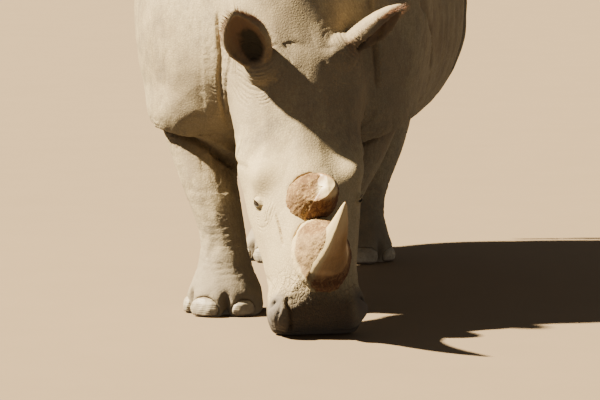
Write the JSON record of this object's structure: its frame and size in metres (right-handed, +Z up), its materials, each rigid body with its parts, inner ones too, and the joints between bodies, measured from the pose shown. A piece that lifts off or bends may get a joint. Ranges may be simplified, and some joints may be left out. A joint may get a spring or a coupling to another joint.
{
  "type": "white rhinoceros model",
  "caption": "White rhinoceros at life size, standing with its long head lowered and turned a little to its left, broad lips on the ground as if grazing.",
  "frame": {"origin": "middle of the animal's footprint on the ground, at the level of its soles", "axes": "+X towards the animal's left, +Y from its head to its tail, +Z up"},
  "size_m": [1.1184, 3.0868, 1.6418],
  "materials": {
    "hide": "dry, dusty, wrinkled hide",
    "horn": "fibrous keratin, worn smooth towards the tips",
    "nail": "dull keratin with fine ridges",
    "eye": "wet dark eye"
  },
  "bodies": {
    "root": {"trunk": "hide", "neck": "hide", "head": "hide", "ear_left": "hide", "ear_right": "hide", "tail": "hide", "foreleg_left": "hide", "foreleg_right": "hide", "hindleg_left": "hide", "hindleg_right": "hide", "forefoot_left": "hide", "forefoot_right": "hide", "hindfoot_left": "hide", "hindfoot_right": "hide", "horn_front": "horn", "horn_rear": "horn", "nail_fore_left_middle": "nail", "nail_fore_left_outer": "nail", "nail_fore_left_inner": "nail", "nail_fore_right_middle": "nail", "nail_fore_right_outer": "nail", "nail_fore_right_inner": "nail", "nail_hind_left_middle": "nail", "nail_hind_left_outer": "nail", "nail_hind_left_inner": "nail", "nail_hind_right_middle": "nail", "nail_hind_right_outer": "nail", "nail_hind_right_inner": "nail", "eye_left": "eye", "eye_right": "eye"}
  },
  "joints": []
}
